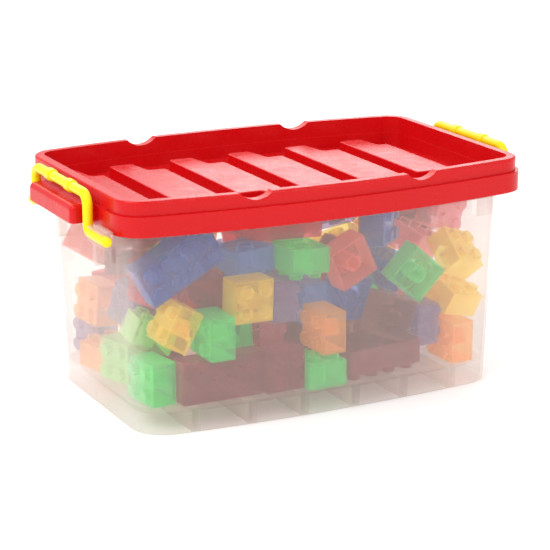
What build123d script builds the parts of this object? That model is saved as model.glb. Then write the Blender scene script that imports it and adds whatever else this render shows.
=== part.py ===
from build123d import *
import math
import os
import numpy as np

# A clip-lid storage box full of clear play bricks.
# Frame: X along the long side, Y across, Z up; the origin is under the middle of the box, on its base plane.

# ---- lid ----
LID_LENGTH = 310.0          # over the skirt
LID_WIDTH = 183.6           # over the skirt, at its corners
LID_BOW = 10.8              # how far each long side bulges at its middle
LID_CORNER = 21.3
LID_TOP = 164.7
SKIRT_BOTTOM = 141.1
SKIRT_STEP = 154.8          # the skirt's upper band starts here
STEP_INSET = 2.3
LID_WALL = 2.0
RIM_TOP_WIDTH = 6.6
TRAY_FLOOR = 143.5          # upper face of the tray inside the rim
TRAY_STEP = 152.4           # ledge line round the tray's wall
TRAY_STEP_WIDTH = 1.1

# raised strips in the tray
GROOVE_PITCH = 47.1
GROOVE_WIDTH = 13.5
GROOVE_COUNT = 5
GROOVE_FIRST_X = -105.2
STRIPS_X = (-142.0, 118.5)  # ends of the raised area
STRIP_LONG_Y = 70.0         # a strip's long end
STRIP_SHORT_Y = 46.0        # its set-back end
STRIP_STEP_X = 19.5         # width of the part that reaches to the back
STRIP_SLANT = 1.5           # half the run of the slanted edge between the two parts
STRIP_CORNER = 2.5
STRIP_TOP = 152.0

# scooped dips in the rim
DIP_X = 63.0
DIP_DEPTH = 4.9
DIP_RADIUS = 16.0

# lugs that the handles clip over
LUG_REACH = 170.6
LUG_HALF_WIDTH = 40.0
LUG_Z = (142.4, 154.9)
LUG_TOP_ROUND = 4.0
LUG_CORNER = 4.0

# ---- tub ----
BASE_LENGTH = 275.8
BASE_WIDTH = 162.8
BASE_BOW = 5.1
BASE_CORNER = 25.0
DRAFT = 4.1                 # how much each side moves out from the base to the rim
RIM_BOW = 9.0
RIM_CORNER = 23.5
TUB_WALL = 1.8
FLOOR_Z = (14.7, 16.5)
FOOT_EDGE_ROUND = 0.9
FLANGE_Z = (139.0, 141.2)
UPSTAND_TOP = 157.0
UPSTAND_WALL = 1.7
UPSTAND_INSET = 4.7         # from the lid's skirt to the upstand's outer face
FOOT_RIB_X = (20.0, 59.5, 100.5)
FOOT_RIB_WIDTH = 6.4

# ---- handles and their brackets ----
PIVOT_X = 161.8
PIVOT_Z = 138.5
ROD_RADIUS = 3.4
ARM_Y = 47.5
BAR_Z = 163.2
PIN_TIP_Y = (58.5, 83.0)    # short pin, long pin
BAR_BEND = 8.0
PIN_BEND = 4.6
COLLAR_Y = 17.8
COLLAR_RADIUS = 4.4
COLLAR_WIDTH = 8.0
BEARING_Y = ((52.0, 56.5), (52.0, 76.0))  # under the short pin, under the long pin
BEARING_CLEARANCE = 0.05
BEARING_REACH = 163.9
BEARING_Z = (133.7, 143.6)
FIN_Y = (38.0, 44.5)
FIN_REACH = 155.2
FIN_BOTTOM = 113.2
UNDER_SKIRT = 140.6         # brackets stop here below the skirt

# ---- play bricks ----
STUD_PITCH = 15.0
BRICK_GAP = 0.2             # a brick is this much smaller than its grid of studs
BRICK_HEIGHT = 18.0
BRICK_WALL = 1.5
BRICK_ROUND = 0.5
STUD_RADIUS = 4.5
STUD_HEIGHT = 4.0
STUD_ROUND = 0.4
TUBE_RADIUS = 6.1
TUBE_BORE = 4.7

# Bricks that show through the tub's walls: colour, studs along the length, middle, and turn.
# A turn is tip about X, then roll about Y, then yaw about Z, in degrees: a tip of 90 turns the
# studs to the front, -90 turns the open side to the front, and a roll of -90 turns them to the left.
SHOWN_BRICKS = [
    # front, bottom row
    ("green", 2, (-119, -50, 32), (90, 0, -82)),
    ("maroon", 4, (-76, -70, 32), (90, 0, 0)),
    ("maroon", 2, (-31, -73, 32), (90, 0, 2)),
    ("green", 2, (0, -70, 28), (0, 0, 2)),
    ("maroon", 4, (45, -66, 28), (180, -1, 6)),
    ("orange", 2, (110, -64, 32), (0, -90, 3)),
    ("blue", 2, (100, -30, 28), (0, 8, 25)),
    # front, second row
    ("lime", 2, (-114, -32, 56), (0, 24, -8)),
    ("green", 2, (-87, -65, 62), (0, -90, 0)),
    ("green", 2, (-59, -46, 50), (-90, -4, 2)),
    ("rose", 2, (-28, -46, 50), (0, 90, 0)),
    ("orange", 2, (8, -56, 50), (0, -90, 2)),
    ("brown", 2, (53, -70, 60), (-90, 20, 3)),
    ("lilac", 2, (87, -56, 46), (0, 90, 4)),
    ("orange", 2, (116, -38, 54), (90, 20, 10)),
    # front, third row
    ("amber", 2, (-116, -61, 72), (0, -62, 0)),
    ("maroon", 2, (-76, -47, 81), (90, 0, 0)),
    ("amber", 2, (-59, -74, 85), (90, 2, 5)),
    ("lilac", 2, (-28, -60, 81), (0, 90, 0)),
    ("sky", 2, (8, -36, 66), (0, 90, 3)),
    ("blue", 2, (32, -50, 68), (90, 4, -3)),
    ("amber", 2, (118, -59, 62), (20, 14, 12)),
    # front, top row
    ("blue", 4, (-100, -52, 108), (90, -29, 0)),
    ("sky", 2, (-44, -46, 104), (180, -4, 6)),
    ("green", 2, (-17, -66, 103), (180, 2, 3)),
    ("coral", 2, (15, -75, 104), (-90, -25, 4)),
    ("blue", 2, (60, -46, 118), (90, 4, 45)),
    ("green", 2, (71, -70, 86), (-90, 42, -6)),
    ("pink", 2, (96, -38, 96), (20, 20, 30)),
    ("amber", 2, (110, -62, 90), (45, 20, 20)),
    ("pink", 2, (116, -42, 120), (90, 25, 20)),
    # seen between them, further in
    ("maroon", 4, (40, -36, 34), (0, 0, 14)),
    ("brown", 2, (-8, -32, 38), (90, 0, 20)),
    ("red", 4, (-14, -30, 124), (0, 6, 12)),
    ("maroon", 4, (106, -8, 104), (80, 10, 15)),
    ("maroon", 2, (80, -24, 26), (0, 0, 20)),
    # seen through the left end wall
    ("coral", 2, (-124, 58, 98), (20, 20, 40)),
    ("orange", 2, (-127, 30, 58), (0, -85, 6)),
    ("lilac", 2, (-124, 52, 32), (90, 0, -80)),
    ("orange", 2, (-124, 26, 28), (0, 0, 14)),
    ("lilac", 2, (-108, 14, 66), (90, 20, -70)),
    ("red", 2, (-104, -14, 84), (90, 0, -75)),
    ("lime", 2, (-124, -10, 34), (90, -90, -75)),
    ("maroon", 4, (-104, 0, 122), (180, 8, 60)),
]

# Loose bricks that fill the rest: an even grid, each nudged and turned by a fixed rule.
FILL_X = (-100.0, -60.0, -20.0, 20.0, 60.0, 100.0)
FILL_Y = (22.0, 60.0)
FILL_Z = (34.0, 68.0, 106.0)
FILL_COLOURS = ("maroon", "blue", "red", "green", "lilac", "maroon", "amber", "orange")
FILL_NUDGE = 4.0
FILL_TURN = 25.0
GOLDEN_ANGLE = 137.508

# settling: bricks are pushed apart, off the walls and off the floor until none touch
SETTLE_STEPS = 4000
SETTLE_GAP = 0.3
SIGHT_LINE = (0.437, 0.857, -0.272)   # from the front left, a little above, to the middle of the box
SHOWN_DRIFT = 0.05          # a shown brick gives way along the sight line, and this much less across it
PILE_TOP = 139.6


def outline(half_length, half_width, radius, bow):
    """Rounded rectangle whose long sides bulge by bow; half_width is measured where the corners start."""
    reach = half_length - radius
    side_radius = (reach**2 + bow**2) / (2 * bow)
    crown = half_width + bow
    end = crown - side_radius + math.sqrt(side_radius**2 - half_length**2)
    border = Curve() + [
        ThreePointArc((-half_length, -end), (0, -crown), (half_length, -end)),
        Line((half_length, -end), (half_length, end)),
        ThreePointArc((half_length, end), (0, crown), (-half_length, end)),
        Line((-half_length, end), (-half_length, -end)),
    ]
    face = make_face(border)
    return fillet(face.vertices(), radius)


def lid_outline(inset):
    """The lid's outline, moved inwards."""
    return outline(LID_LENGTH / 2 - inset, LID_WIDTH / 2 - inset, LID_CORNER - inset, LID_BOW)


def slab(face, low, high):
    """A flat outline made into a prism between two heights."""
    return Pos(0, 0, low) * extrude(face, high - low)


def block(x, y, z):
    """A box from its three (low, high) ranges."""
    size = [high - low for low, high in (x, y, z)]
    middle = [(high + low) / 2 for low, high in (x, y, z)]
    return Pos(*middle) * Box(*size)


def tub_section(z, inset):
    """The tub's wall outline at a height; the wall leans out evenly up to the flange."""
    t = z / FLANGE_Z[1]
    face = outline(
        BASE_LENGTH / 2 + DRAFT * t - inset,
        BASE_WIDTH / 2 + DRAFT * t - inset,
        BASE_CORNER + (RIM_CORNER - BASE_CORNER) * t - inset,
        BASE_BOW + (RIM_BOW - BASE_BOW) * t,
    )
    return Pos(0, 0, z) * face


def tub_loft(low, high, inset):
    return loft([tub_section(low, inset), tub_section(high, inset)])


def bearing(side, reach_y):
    """Hook-shaped bearing for one pivot pin, open to the outside, on the +X end."""
    y = sorted(side * value for value in reach_y)
    inner = BASE_LENGTH / 2 + 1.0
    arm = block((inner, BEARING_REACH), y, (BEARING_Z[0], UNDER_SKIRT))
    arm += block((LID_LENGTH / 2 + 0.8, BEARING_REACH), y, (UNDER_SKIRT, BEARING_Z[1]))
    bore_radius = ROD_RADIUS + BEARING_CLEARANCE
    middle = (y[0] + y[1]) / 2
    length = y[1] - y[0] + 2.0
    arm -= Pos(PIVOT_X, middle, PIVOT_Z) * Rot(90, 0, 0) * Cylinder(bore_radius, length)
    mouth = (PIVOT_Z - bore_radius, PIVOT_Z + bore_radius)
    arm -= block((PIVOT_X, BEARING_REACH + 1.0), (y[0] - 1.0, y[1] + 1.0), mouth)
    return arm


def tub():
    """Thin-walled tub with a raised floor on cross ribs, a flange and an upstand under the lid's rim."""
    body = tub_loft(0, FLANGE_Z[1], 0)
    body = fillet(body.faces().sort_by(Axis.Z)[0].edges(), FOOT_EDGE_ROUND)
    body += slab(lid_outline(UPSTAND_INSET), FLANGE_Z[0], UPSTAND_TOP)
    body -= slab(lid_outline(UPSTAND_INSET + UPSTAND_WALL), FLANGE_Z[1], UPSTAND_TOP + 1.0)
    body -= tub_loft(FLOOR_Z[1], FLANGE_Z[1] + 1.0, TUB_WALL)
    foot = tub_loft(-1.0, FLOOR_Z[0], TUB_WALL)
    for x in FOOT_RIB_X:
        for sign in (-1, 1):
            low = sign * x - FOOT_RIB_WIDTH / 2
            foot -= block((low, low + FOOT_RIB_WIDTH), (-LID_WIDTH, LID_WIDTH), (0.0, FLOOR_Z[0] + 1.0))
    body -= foot
    for end in (0, 180):
        for side, reach_y in zip((-1, 1), BEARING_Y):
            y = sorted(side * value for value in FIN_Y)
            fin = block((BASE_LENGTH / 2 + 1.0, FIN_REACH), y, (FIN_BOTTOM, UNDER_SKIRT))
            body += Rot(0, 0, end) * (fin + bearing(side, reach_y))
    # the brackets start inside the wall, so the space inside the tub is cleared again
    return body - tub_loft(FLOOR_Z[1], FLANGE_Z[1], TUB_WALL)


def strip_outline(low_x, high_x):
    """One raised strip: its left part reaches to the back and its right part to the front."""
    step = low_x + STRIP_STEP_X
    back = [
        (low_x, STRIP_LONG_Y),
        (step - STRIP_SLANT, STRIP_LONG_Y),
        (step + STRIP_SLANT, STRIP_SHORT_Y),
        (high_x, STRIP_SHORT_Y),
    ]
    front = [
        (high_x, -STRIP_LONG_Y),
        (step + STRIP_SLANT, -STRIP_LONG_Y),
        (step - STRIP_SLANT, -STRIP_SHORT_Y),
        (low_x, -STRIP_SHORT_Y),
    ]
    face = make_face(Polyline(*back, *front, close=True))
    return fillet(face.vertices(), STRIP_CORNER)


def strip_ranges():
    """X ranges of the strips: what the grooves leave of the raised area."""
    edges = [STRIPS_X[0]]
    for index in range(GROOVE_COUNT):
        middle = GROOVE_FIRST_X + index * GROOVE_PITCH
        edges += [middle - GROOVE_WIDTH / 2, middle + GROOVE_WIDTH / 2]
    edges.append(STRIPS_X[1])
    return list(zip(edges[::2], edges[1::2]))


def dip_cylinders(radius):
    """Cylinders across the long sides of the rim, where the dips are."""
    height = LID_TOP - DIP_DEPTH + DIP_RADIUS
    reach = (STRIP_LONG_Y + 12.0, LID_WIDTH / 2 + LID_BOW + 5.0)
    middle = (reach[0] + reach[1]) / 2
    cylinders = Part()
    for x in (-DIP_X, DIP_X):
        for side in (-1, 1):
            place = Pos(x, side * middle, height) * Rot(90, 0, 0)
            cylinders += place * Cylinder(radius, reach[1] - reach[0])
    return cylinders


def lug():
    """Hollow lug on the +X end, which the handle's bar clips over."""
    inner = LID_LENGTH / 2 - 2.2
    shape = block((inner, LUG_REACH), (-LUG_HALF_WIDTH, LUG_HALF_WIDTH), LUG_Z)
    uprights = shape.edges().filter_by(Axis.Z).group_by(Axis.X)[-1]
    shape = fillet(uprights, LUG_CORNER)
    outer_top = shape.faces().sort_by(Axis.Z)[-1].edges().filter_by(Axis.Y).sort_by(Axis.X)[-1]
    shape = fillet(outer_top, LUG_TOP_ROUND)
    wall = LID_WALL
    hollow = block(
        (LID_LENGTH / 2, LUG_REACH - wall),
        (wall - LUG_HALF_WIDTH, LUG_HALF_WIDTH - wall),
        (LUG_Z[0] - 1.0, LUG_Z[1] - wall),
    )
    hollow_top = hollow.faces().sort_by(Axis.Z)[-1].edges().filter_by(Axis.Y).sort_by(Axis.X)[-1]
    return shape - fillet(hollow_top, LUG_TOP_ROUND - wall)


def lid():
    """Stepped skirt, rim with four dips, a sunk tray with raised strips, and a lug at each end."""
    rim = slab(lid_outline(STEP_INSET), SKIRT_STEP - 1.0, LID_TOP)
    rim = fillet(rim.faces().sort_by(Axis.Z)[-1].edges(), 1.6)
    body = slab(lid_outline(0), SKIRT_BOTTOM, SKIRT_STEP) + rim
    tray_inset = STEP_INSET + RIM_TOP_WIDTH
    body -= slab(lid_outline(tray_inset), TRAY_STEP, LID_TOP + 1.0)
    body -= slab(lid_outline(tray_inset + TRAY_STEP_WIDTH), TRAY_FLOOR, TRAY_STEP + 1.0)

    channel = slab(lid_outline(LID_WALL), SKIRT_BOTTOM - 1.0, SKIRT_STEP - LID_WALL)
    channel += slab(lid_outline(STEP_INSET + LID_WALL), SKIRT_STEP - LID_WALL - 1.0, LID_TOP - LID_WALL)
    under_tray = TRAY_FLOOR - LID_WALL
    channel -= slab(lid_outline(tray_inset - LID_WALL), under_tray, LID_TOP)
    channel -= dip_cylinders(DIP_RADIUS + LID_WALL)
    body -= channel
    body -= dip_cylinders(DIP_RADIUS)

    for low_x, high_x in strip_ranges():
        face = strip_outline(low_x, high_x)
        strip = slab(face, under_tray, STRIP_TOP)
        body += fillet(strip.faces().sort_by(Axis.Z)[-1].edges(), 0.9)
        body -= slab(offset(face, -LID_WALL), under_tray - 1.0, STRIP_TOP - LID_WALL)
    for end in (0, 180):
        body += Rot(0, 0, end) * lug()
    return body


def handle():
    """Moulded wire-like handle on the +X end: bar, two arms, and a short and a long pin pointing out."""
    front, back = PIN_TIP_Y[0] - ROD_RADIUS, PIN_TIP_Y[1] - ROD_RADIUS
    route = FilletPolyline(
        (PIVOT_X, -front, PIVOT_Z),
        (PIVOT_X, -ARM_Y, PIVOT_Z),
        (PIVOT_X, -ARM_Y, BAR_Z),
        (PIVOT_X, ARM_Y, BAR_Z),
        (PIVOT_X, ARM_Y, PIVOT_Z),
        (PIVOT_X, back, PIVOT_Z),
        radius=[PIN_BEND, BAR_BEND, BAR_BEND, PIN_BEND],
    )
    start = Plane(origin=route @ 0, z_dir=route % 0)
    rod = sweep(start * Circle(ROD_RADIUS), path=route)
    for side, tip in ((-1, front), (1, back)):
        rod += Pos(PIVOT_X, side * tip, PIVOT_Z) * Sphere(ROD_RADIUS)
        collar = Rot(90, 0, 0) * Cylinder(COLLAR_RADIUS, COLLAR_WIDTH)
        collar = fillet(collar.edges().filter_by(GeomType.CIRCLE), 0.9)
        rod += Pos(PIVOT_X, side * COLLAR_Y, BAR_Z) * collar
    return rod


def brick(studs_long):
    """Hollow play brick, two studs wide, centred on the box round its body and studs."""
    length = studs_long * STUD_PITCH - BRICK_GAP
    width = 2 * STUD_PITCH - BRICK_GAP
    body = fillet(Box(length, width, BRICK_HEIGHT).edges(), BRICK_ROUND)
    body -= Pos(0, 0, -BRICK_WALL) * Box(length - 2 * BRICK_WALL, width - 2 * BRICK_WALL, BRICK_HEIGHT)
    stud = Cylinder(STUD_RADIUS, STUD_HEIGHT)
    stud = fillet(stud.faces().sort_by(Axis.Z)[-1].edges(), STUD_ROUND)
    body += Pos(0, 0, (BRICK_HEIGHT + STUD_HEIGHT) / 2) * GridLocations(
        STUD_PITCH, STUD_PITCH, studs_long, 2
    ) * stud
    tube = Cylinder(TUBE_RADIUS, BRICK_HEIGHT - BRICK_WALL) - Cylinder(TUBE_BORE, BRICK_HEIGHT)
    for place in GridLocations(STUD_PITCH, STUD_PITCH, studs_long - 1, 1):
        body += Pos(0, 0, -BRICK_WALL / 2) * place * tube
    return Pos(0, 0, -STUD_HEIGHT / 2) * body


def fill_bricks():
    """The loose bricks of the grid, in the same form as SHOWN_BRICKS."""
    bricks = []
    for z in FILL_Z:
        for y in FILL_Y:
            for x in FILL_X:
                index = len(bricks)
                phase = math.radians(GOLDEN_ANGLE * index)
                middle = (
                    x + FILL_NUDGE * math.cos(phase),
                    y + FILL_NUDGE * math.sin(phase),
                    z + FILL_NUDGE * math.sin(2 * phase),
                )
                turn = (
                    90.0 * (index % 4) + FILL_TURN * math.sin(3 * phase),
                    FILL_TURN * math.cos(5 * phase),
                    GOLDEN_ANGLE * index,
                )
                studs_long = 4 if index % 9 == 4 else 2
                bricks.append((FILL_COLOURS[index % len(FILL_COLOURS)], studs_long, middle, turn))
    return bricks


def turn_matrix(turn):
    """Columns are the brick's own axes after the tip, roll and yaw."""
    (ct, cr, cy), (st, sr, sy) = np.cos(np.radians(turn)), np.sin(np.radians(turn))
    tip = np.array([[1, 0, 0], [0, ct, -st], [0, st, ct]])
    roll = np.array([[cr, 0, sr], [0, 1, 0], [-sr, 0, cr]])
    yaw = np.array([[cy, -sy, 0], [sy, cy, 0], [0, 0, 1]])
    return yaw @ roll @ tip


def wall_push(corners):
    """How far each corner point has to move, in X and Y, to be inside the tub's walls."""
    x, y, z = corners[..., 0], corners[..., 1], corners[..., 2]
    t = z / FLANGE_Z[1]
    inset = TUB_WALL + SETTLE_GAP
    half_length = BASE_LENGTH / 2 + DRAFT * t - inset
    half_width = BASE_WIDTH / 2 + DRAFT * t - inset
    radius = BASE_CORNER + (RIM_CORNER - BASE_CORNER) * t - inset
    reach = half_length - radius
    bow = BASE_BOW + (RIM_BOW - BASE_BOW) * t
    side = half_width + bow * np.clip(1 - (x / reach) ** 2, 0, None)
    push_x = -np.sign(x) * np.clip(abs(x) - half_length, 0, None)
    push_y = -np.sign(y) * np.clip(abs(y) - side, 0, None)
    # round corners
    over_x, over_y = abs(x) - reach, abs(y) - (half_width - radius)
    distance = np.hypot(over_x, over_y)
    outside = (over_x > 0) & (over_y > 0) & (distance > radius)
    excess = np.where(outside, (distance - radius) / np.maximum(distance, 1e-9), 0.0)
    push_x = np.where(outside, -np.sign(x) * over_x * excess, push_x)
    push_y = np.where(outside, -np.sign(y) * over_y * excess, push_y)
    return push_x, push_y


def strongest(pushes):
    """For each brick, the largest push in either direction among its corners."""
    index = abs(pushes).argmax(axis=1)
    return np.take_along_axis(pushes, index[:, None], axis=1)[:, 0]


def give(mobility, direction):
    """Each brick's move for a push of 1 in its direction, and how far that move goes along the push."""
    move = np.einsum("nij,nj->ni", mobility, direction)
    return move, (move * direction).sum(axis=1)


def settle(bricks):
    """Middles of the bricks after they are pushed apart, with their turns kept."""
    middles = np.array([middle for _, _, middle, _ in bricks], dtype=float)
    axes = np.array([turn_matrix(turn) for _, _, _, turn in bricks])
    halves = np.array([
        (count * STUD_PITCH - BRICK_GAP, 2 * STUD_PITCH - BRICK_GAP, BRICK_HEIGHT + STUD_HEIGHT)
        for _, count, _, _ in bricks
    ]) / 2
    mobility = np.tile(np.eye(3), (len(bricks), 1, 1))
    along_sight = np.outer(SIGHT_LINE, SIGHT_LINE)
    mobility[:len(SHOWN_BRICKS)] = SHOWN_DRIFT * np.eye(3) + (1 - SHOWN_DRIFT) * along_sight
    signs = np.array([(a, b, c) for a in (-1, 1) for b in (-1, 1) for c in (-1, 1)])
    corner_offsets = np.einsum("nij,nkj->nki", axes, signs * halves[:, None, :])

    # separating-axis test of every pair of boxes; only the middles move, so the axes are kept
    first, second = np.triu_indices(len(bricks), 1)
    columns_a = axes[first].transpose(0, 2, 1)
    columns_b = axes[second].transpose(0, 2, 1)
    crosses = np.cross(columns_a[:, :, None, :], columns_b[:, None, :, :]).reshape(len(first), 9, 3)
    tests = np.concatenate([columns_a, columns_b, crosses], axis=1)
    lengths = np.linalg.norm(tests, axis=2)
    usable = lengths > 1e-3
    tests = tests / np.maximum(lengths, 1e-9)[:, :, None]
    reach_a = np.einsum("pk,pkl->pl", halves[first], abs(np.einsum("pkj,plj->pkl", columns_a, tests)))
    reach_b = np.einsum("pk,pkl->pl", halves[second], abs(np.einsum("pkj,plj->pkl", columns_b, tests)))
    reaches = np.where(usable, reach_a + reach_b + SETTLE_GAP, np.inf)

    for _ in range(SETTLE_STEPS):
        apart = np.einsum("pj,plj->pl", middles[first] - middles[second], tests)
        depths = reaches - abs(apart)
        axis = depths.argmin(axis=1)[:, None]
        depth = np.take_along_axis(depths, axis, axis=1)[:, 0]
        touching = depth > 0
        toward = np.sign(np.take_along_axis(apart, axis, axis=1)[:, 0]) * depth
        direction = np.take_along_axis(tests, axis[:, :, None], axis=1)[:, 0]
        a, b = first[touching], second[touching]
        move_a, reach_of_a = give(mobility[a], direction[touching])
        move_b, reach_of_b = give(mobility[b], direction[touching])
        size = (0.5 * toward[touching] / (reach_of_a + reach_of_b))[:, None]
        np.add.at(middles, a, move_a * size)
        np.add.at(middles, b, -move_b * size)
        for axis_index in range(3):
            corners = middles[:, None, :] + corner_offsets
            if axis_index == 2:
                push = np.clip(FLOOR_Z[1] + SETTLE_GAP - corners[..., 2].min(axis=1), 0, None)
                push -= np.clip(corners[..., 2].max(axis=1) - PILE_TOP, 0, None)
            else:
                push = strongest(wall_push(corners)[axis_index])
            way = np.tile(np.eye(3)[axis_index], (len(bricks), 1))
            move, reach_of = give(mobility, way)
            middles += move * (push / reach_of)[:, None]
    print(f"deepest overlap between bricks after settling: {depth.max() - SETTLE_GAP:.3f} mm")
    return middles


def placed_bricks():
    """Every brick solid by node name: one node for each shown brick, one for each colour of the fill."""
    bricks = SHOWN_BRICKS + fill_bricks()
    shapes = {count: brick(count) for count in (2, 4)}
    nodes = {}
    for index, ((colour, count, _, turn), middle) in enumerate(zip(bricks, settle(bricks))):
        tip, roll, yaw = turn
        place = Pos(*middle) * Rot(0, 0, yaw) * Rot(0, roll, 0) * Rot(tip, 0, 0)
        shown = index < len(SHOWN_BRICKS)
        name = f"brick_{index + 1:02d}_{colour}" if shown else f"loose_bricks_{colour}"
        nodes.setdefault(name, []).append(place * shapes[count])
    return nodes


def main():
    os.makedirs("parts", exist_ok=True)
    right_handle = handle()
    nodes = {
        "tub": [tub()],
        "lid": [lid()],
        "handle_right": [right_handle],
        "handle_left": [Rot(0, 0, 180) * right_handle],
    }
    nodes.update(placed_bricks())
    for name, solids in nodes.items():
        shape = solids[0] if len(solids) == 1 else Compound(children=solids)
        export_step(shape, f"parts/{name}.step")
    print(f"{len(nodes)} nodes written")


main()
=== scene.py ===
import math

import bpy
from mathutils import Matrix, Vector


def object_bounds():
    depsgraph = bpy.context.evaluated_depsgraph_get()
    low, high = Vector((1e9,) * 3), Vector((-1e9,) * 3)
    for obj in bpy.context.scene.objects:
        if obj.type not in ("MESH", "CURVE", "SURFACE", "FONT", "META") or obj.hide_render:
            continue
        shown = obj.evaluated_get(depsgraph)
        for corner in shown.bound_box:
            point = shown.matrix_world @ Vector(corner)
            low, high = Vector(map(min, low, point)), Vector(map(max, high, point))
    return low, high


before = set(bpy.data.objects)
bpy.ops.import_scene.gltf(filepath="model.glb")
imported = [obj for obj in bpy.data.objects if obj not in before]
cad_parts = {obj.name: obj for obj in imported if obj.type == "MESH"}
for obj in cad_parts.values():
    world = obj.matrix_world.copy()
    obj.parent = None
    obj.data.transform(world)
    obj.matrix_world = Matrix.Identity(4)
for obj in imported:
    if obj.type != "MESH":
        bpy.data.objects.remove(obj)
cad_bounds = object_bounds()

# ---- camera, floor and light: metres and degrees ----
CAMERA_AZIMUTH = -27.0
CAMERA_ELEVATION = 15.8
CAMERA_DISTANCE = 1.455
CAMERA_TARGET = Vector((0.0, 0.0, 0.0759))
CAMERA_LENS = 132.4
CAMERA_SENSOR = 36.0
CAMERA_CLIP_START = 0.05
FLOOR_RADIUS = 4.0
FLOOR_GAP = 0.0004
FLOOR_GLOW = 0.08           # weakens the shadow on the floor
WORLD_STRENGTH = 0.85
LIGHT_BOUNCES = 12
DIFFUSE_BOUNCES = 6
CLEAR_BOUNCES = 64          # a sight line crosses many brick walls

# ---- area lamps: name, azimuth, elevation, distance, size, watts ----
LAMPS = [
    ("key", -75, 48, 1.6, (1.0, 1.0), 14),
    ("fill", 30, 30, 1.8, (1.0, 1.0), 6),
    ("back", 165, 40, 1.7, (1.4, 0.8), 10),
    ("glare", 148, 17, 2.0, (0.7, 0.35), 1.8),
]

# ---- opaque plastics ----
LID_RED = (0.60, 0.004, 0.006)
LID_GLOSS = 0.26
LID_GRAIN = 0.04
HANDLE_YELLOW = (0.90, 0.70, 0.004)
HANDLE_GLOSS = 0.24
HANDLE_GRAIN = 0.12

# ---- see-through plastics ----
TUB_CREAMS = ((0.84, 0.75, 0.71), (0.93, 0.86, 0.81))
TUB_PASS = (0.985, 0.970, 0.960)
TUB_SOLID = (0.095, 0.40)   # how solid the wall looks, seen face on and at a slant
BRICK_SOLID = (0.15, 0.80)
PASS_POWER = 0.45           # below 1: lightens a wall's tint where light passes straight through
BRICK_PAINTED_GLOW = 0.14           # painted glow: each brick gives off light in its own tint, standing in for light scattered inside it

# ---- brick colours, as light is tinted by each wall it passes ----
BRICK_TINTS = {
    "maroon": (0.46, 0.13, 0.15),
    "red": (0.80, 0.10, 0.12),
    "coral": (0.95, 0.30, 0.22),
    "orange": (0.99, 0.54, 0.18),
    "amber": (0.99, 0.78, 0.14),
    "green": (0.20, 0.86, 0.32),
    "lime": (0.50, 0.88, 0.28),
    "blue": (0.16, 0.28, 0.68),
    "sky": (0.26, 0.46, 0.80),
    "lilac": (0.42, 0.30, 0.50),
    "rose": (0.66, 0.18, 0.22),
    "brown": (0.42, 0.17, 0.16),
    "pink": (0.95, 0.42, 0.46),
}


class Nodes:
    """A material's node tree, with short ways to add and join nodes."""

    def __init__(self, name):
        self.material = bpy.data.materials.new(name)
        self.material.use_nodes = True
        self.tree = self.material.node_tree
        self.tree.nodes.clear()
        self.output = self.add("ShaderNodeOutputMaterial")
        self.place = self.add("ShaderNodeTexCoord").outputs["Object"]

    def add(self, kind, **settings):
        node = self.tree.nodes.new(kind)
        for key, value in settings.items():
            setattr(node, key, value)
        return node

    def join(self, source, target):
        self.tree.links.new(source, target)

    def noise(self, scale, detail=3.0, roughness=0.5, stretch=(1, 1, 1)):
        mapping = self.add("ShaderNodeMapping")
        mapping.inputs["Scale"].default_value = stretch
        self.join(self.place, mapping.inputs["Vector"])
        noise = self.add("ShaderNodeTexNoise")
        noise.inputs["Scale"].default_value = scale
        noise.inputs["Detail"].default_value = detail
        noise.inputs["Roughness"].default_value = roughness
        self.join(mapping.outputs["Vector"], noise.inputs["Vector"])
        return noise.outputs["Fac"]

    def spread(self, value, low, high, start=0.3, end=0.7):
        """Stretches a noise value to run from low to high."""
        node = self.add("ShaderNodeMapRange")
        node.inputs["From Min"].default_value = start
        node.inputs["From Max"].default_value = end
        node.inputs["To Min"].default_value = low
        node.inputs["To Max"].default_value = high
        self.join(value, node.inputs["Value"])
        return node.outputs["Result"]

    def mix(self, factor, first, second):
        """A colour that runs from first to second."""
        node = self.add("ShaderNodeMix", data_type="RGBA")
        self.join(factor, node.inputs["Factor"])
        node.inputs["A"].default_value = (*first, 1.0)
        node.inputs["B"].default_value = (*second, 1.0)
        return node.outputs["Result"]

    def bump(self, heights):
        """Bumps laid over each other: (height output, distance in metres, strength)."""
        normal = None
        for height, distance, strength in heights:
            node = self.add("ShaderNodeBump")
            node.inputs["Distance"].default_value = distance
            node.inputs["Strength"].default_value = strength
            self.join(height, node.inputs["Height"])
            if normal is not None:
                self.join(normal, node.inputs["Normal"])
            normal = node.outputs["Normal"]
        return normal

    def shader(self, **values):
        """The Principled shader, with constant values on its own sockets."""
        node = self.add("ShaderNodeBsdfPrincipled")
        for key, value in values.items():
            node.inputs[key.replace("_", " ")].default_value = value
        self.join(node.outputs["BSDF"], self.output.inputs["Surface"])
        return node


def scaled(colour, factor):
    return tuple(min(1.0, channel * factor) for channel in colour)


def lightened(tint):
    """The tint that one face of a thin wall gives to what is seen through it."""
    return tuple(channel**PASS_POWER for channel in tint)


def moulded_plastic(name, colour, gloss, grain):
    """Coloured polypropylene: even colour, faint flow marks, fine moulded grain and rubbed spots."""
    nodes = Nodes(name)
    flow = nodes.noise(9.0, detail=4.0, stretch=(0.4, 1.0, 2.2))
    rubbed = nodes.noise(70.0, detail=6.0, roughness=0.7)
    fine = nodes.noise(2600.0, detail=2.0)
    shader = nodes.shader(IOR=1.49, Specular_IOR_Level=0.24)
    nodes.join(nodes.mix(nodes.spread(flow, 0, 1), scaled(colour, 0.93), scaled(colour, 1.05)),
               shader.inputs["Base Color"])
    nodes.join(nodes.spread(rubbed, gloss - 0.05, gloss + 0.09), shader.inputs["Roughness"])
    nodes.join(nodes.bump([(fine, 0.00004, grain), (flow, 0.0006, 0.08)]), shader.inputs["Normal"])
    return nodes.material


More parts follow.
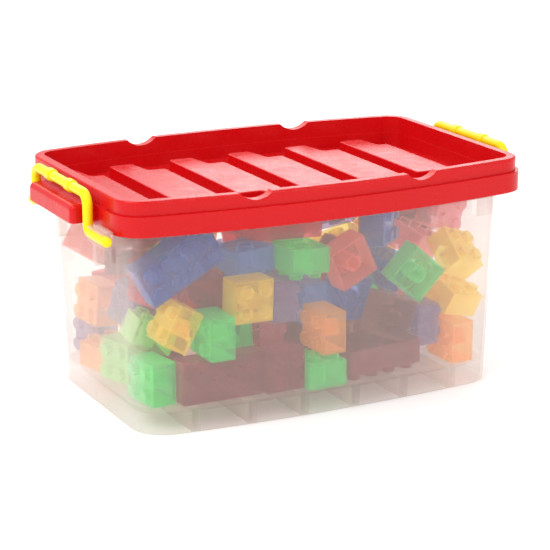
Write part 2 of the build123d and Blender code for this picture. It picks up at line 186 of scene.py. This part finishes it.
def see_through(nodes, shader, tint, face_on, edge_on):
    """Lets light and sight pass straight through a thin wall; it is more solid where seen at a slant."""
    clear = nodes.add("ShaderNodeBsdfTransparent")
    clear.inputs["Color"].default_value = (*tint, 1.0)
    slant = nodes.add("ShaderNodeLayerWeight")
    slant.inputs["Blend"].default_value = 0.5
    solid = nodes.spread(slant.outputs["Facing"], face_on, edge_on, 0.0, 1.0)
    layers = nodes.add("ShaderNodeMixShader")
    nodes.join(solid, layers.inputs["Fac"])
    nodes.join(clear.outputs["BSDF"], layers.inputs[1])
    nodes.join(shader.outputs["BSDF"], layers.inputs[2])
    nodes.join(layers.outputs["Shader"], nodes.output.inputs["Surface"])


def milky_plastic(name):
    """Natural polypropylene: clear enough to see the bricks, with a cream veil, flow marks and scuffs."""
    nodes = Nodes(name)
    cloud = nodes.noise(14.0, detail=3.0, stretch=(1.0, 1.0, 1.8))
    scuffs = nodes.noise(55.0, detail=7.0, roughness=0.75, stretch=(1.0, 1.0, 0.35))
    shader = nodes.shader(IOR=1.4, Transmission_Weight=0.25)
    nodes.join(nodes.mix(nodes.spread(cloud, 0, 1), *TUB_CREAMS),
               shader.inputs["Base Color"])
    nodes.join(nodes.spread(scuffs, 0.16, 0.30), shader.inputs["Roughness"])
    see_through(nodes, shader, TUB_PASS, *TUB_SOLID)
    return nodes.material


def clear_plastic(name, tint):
    """Tinted clear brick plastic, with a painted glow in its own tint, flow marks and a few fine
    scratches.
    """
    nodes = Nodes(name)
    flow = nodes.noise(60.0, detail=3.0)
    scratches = nodes.noise(260.0, detail=8.0, roughness=0.8, stretch=(1.0, 0.15, 0.6))
    # painted glow: emission in the brick's tint stands in for light scattered inside the brick
    shader = nodes.shader(IOR=1.5, Transmission_Weight=0.1, Emission_Strength=BRICK_PAINTED_GLOW)
    shader.inputs["Emission Color"].default_value = (*tint, 1.0)
    nodes.join(nodes.mix(nodes.spread(flow, 0, 1), scaled(tint, 0.85), scaled(tint, 1.1)),
               shader.inputs["Base Color"])
    nodes.join(nodes.spread(scratches, 0.08, 0.20), shader.inputs["Roughness"])
    nodes.join(nodes.bump([(flow, 0.0004, 0.1)]), shader.inputs["Normal"])
    see_through(nodes, shader, lightened(tint), *BRICK_SOLID)
    return nodes.material


def dress_nodes():
    """Gives each CAD node the plastic that its name tells: a brick colour, or a kind of part."""
    plastics = {
        "tub": milky_plastic("milky_tub_plastic"),
        "lid": moulded_plastic("red_lid_plastic", LID_RED, LID_GLOSS, LID_GRAIN),
        "handle": moulded_plastic("yellow_handle_plastic", HANDLE_YELLOW, HANDLE_GLOSS, HANDLE_GRAIN),
    }
    for tint_name, tint in BRICK_TINTS.items():
        plastics[tint_name] = clear_plastic(f"clear_{tint_name}_plastic", tint)
    for name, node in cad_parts.items():
        words = name.split("_")
        key = words[-1] if words[-1] in BRICK_TINTS else words[0]
        for slot in node.material_slots:
            slot.material = plastics[key]


def studio_floor():
    """A wide, plain, pale floor just below the object."""
    nodes = Nodes("studio_floor")
    grain = nodes.noise(30.0, detail=4.0)
    shader = nodes.shader(Roughness=0.6, Specular_IOR_Level=0.2, Emission_Strength=FLOOR_GLOW)
    shader.inputs["Emission Color"].default_value = (1.0, 1.0, 1.0, 1.0)
    nodes.join(nodes.mix(grain, (0.93, 0.93, 0.93), (0.95, 0.95, 0.95)), shader.inputs["Base Color"])
    bpy.ops.mesh.primitive_circle_add(vertices=96, radius=FLOOR_RADIUS, fill_type="NGON",
                                      location=(0, 0, cad_bounds[0][2] - FLOOR_GAP))
    floor = bpy.context.object
    floor.name = "studio_floor"
    floor.data.materials.append(nodes.material)


def aim(thing, target):
    thing.rotation_euler = (target - thing.location).to_track_quat("-Z", "Y").to_euler()


def softbox(name, azimuth, elevation, distance, size, watts):
    """A rectangular area light, placed by its direction from the object."""
    light = bpy.data.lights.new(name, "AREA")
    light.shape = "RECTANGLE"
    light.size, light.size_y = size
    light.energy = watts
    lamp = bpy.data.objects.new(name, light)
    bpy.context.scene.collection.objects.link(lamp)
    lamp.location = CAMERA_TARGET + direction(azimuth, elevation) * distance
    aim(lamp, CAMERA_TARGET)


def direction(azimuth, elevation):
    """Unit vector from the object towards a viewer at this azimuth and elevation."""
    a, e = math.radians(azimuth), math.radians(elevation)
    return Vector((math.sin(a) * math.cos(e), -math.cos(a) * math.cos(e), math.sin(e)))


def lighting():
    """White surroundings, the lamps, and enough light bounces for many clear walls."""
    world = bpy.data.worlds.new("studio")
    world.use_nodes = True
    world.node_tree.nodes["Background"].inputs["Color"].default_value = (1.0, 1.0, 1.0, 1.0)
    world.node_tree.nodes["Background"].inputs["Strength"].default_value = WORLD_STRENGTH
    scene = bpy.context.scene
    scene.world = world
    scene.cycles.max_bounces = LIGHT_BOUNCES
    scene.cycles.transmission_bounces = LIGHT_BOUNCES
    scene.cycles.diffuse_bounces = DIFFUSE_BOUNCES
    scene.cycles.transparent_max_bounces = CLEAR_BOUNCES
    scene.view_settings.view_transform = "Standard"
    for lamp in LAMPS:
        softbox(*lamp)


def camera():
    """The main view: from the front left, a little above."""
    data = bpy.data.cameras.new("camera")
    data.lens = CAMERA_LENS
    data.sensor_width = CAMERA_SENSOR
    data.clip_start = CAMERA_CLIP_START
    view = bpy.data.objects.new("camera", data)
    bpy.context.scene.collection.objects.link(view)
    view.location = CAMERA_TARGET + direction(CAMERA_AZIMUTH, CAMERA_ELEVATION) * CAMERA_DISTANCE
    aim(view, CAMERA_TARGET)
    bpy.context.scene.camera = view


camera()
studio_floor()
lighting()
dress_nodes()
